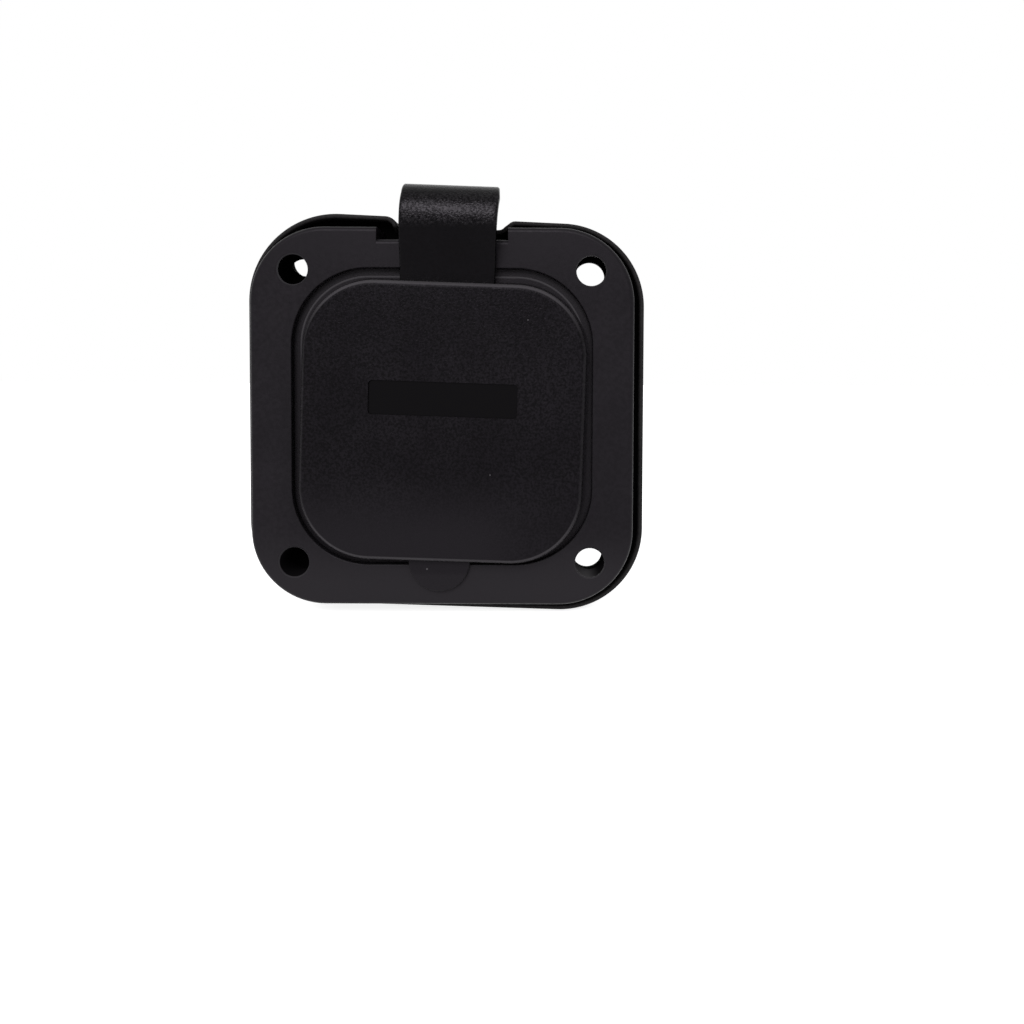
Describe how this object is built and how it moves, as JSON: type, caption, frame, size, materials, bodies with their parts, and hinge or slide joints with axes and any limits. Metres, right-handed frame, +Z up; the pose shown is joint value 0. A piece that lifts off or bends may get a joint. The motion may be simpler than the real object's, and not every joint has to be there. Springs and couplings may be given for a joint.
{
  "type": "power inlet",
  "caption": "Square flanged power inlet with a soft cap on a strap loop, a round connector well with blade and pin contacts, and a rear cover with a cable clamp.",
  "frame": {"origin": "centre of the gasket's rear face, which lies on the vehicle's wall", "axes": "+X to the right as seen from the front, +Z up, +Y into the wall, so the cap faces -Y"},
  "size_m": [0.079, 0.0721, 0.0839],
  "materials": {
    "black_plastic": "satin, fine moulded texture",
    "cap_rubber": "satin, fine grained",
    "black_rubber": "matte",
    "carrier_plastic": "satin",
    "cover_plastic": "satin",
    "brass": "drawn and stamped",
    "nickel": "plated",
    "zinc_steel": "zinc plated",
    "brass_screw": "turned",
    "steel_screw": "plated",
    "green_screw": "green lacquer"
  },
  "bodies": {
    "inlet": {"housing": "black_plastic", "gasket": "black_rubber", "strap": "cap_rubber", "contact_carrier": "carrier_plastic", "line_blade": "brass", "neutral_blade": "nickel", "ground_pin": "brass", "line_clamp_plate": "zinc_steel", "neutral_clamp_plate": "zinc_steel", "ground_clamp_plate": "zinc_steel", "line_terminal_screw": "brass_screw", "neutral_terminal_screw": "steel_screw", "ground_terminal_screw": "green_screw", "rear_cover": "cover_plastic", "cover_seal": "black_rubber", "cable_bush": "black_rubber", "cable_clamp": "cover_plastic", "cover_screws": "steel_screw", "cable_clamp_screws": "steel_screw"},
    "cap": {"cap": "cap_rubber"}
  },
  "joints": [
    {"name": "cap_hinge", "type": "hinge", "parent": "inlet", "child": "cap", "pos_m": [0.00182, -0.006, 0.04708], "axis": [-0.9996, 0, 0.0297], "range_deg": [0, 170], "deforming": ["strap"]}
  ]
}
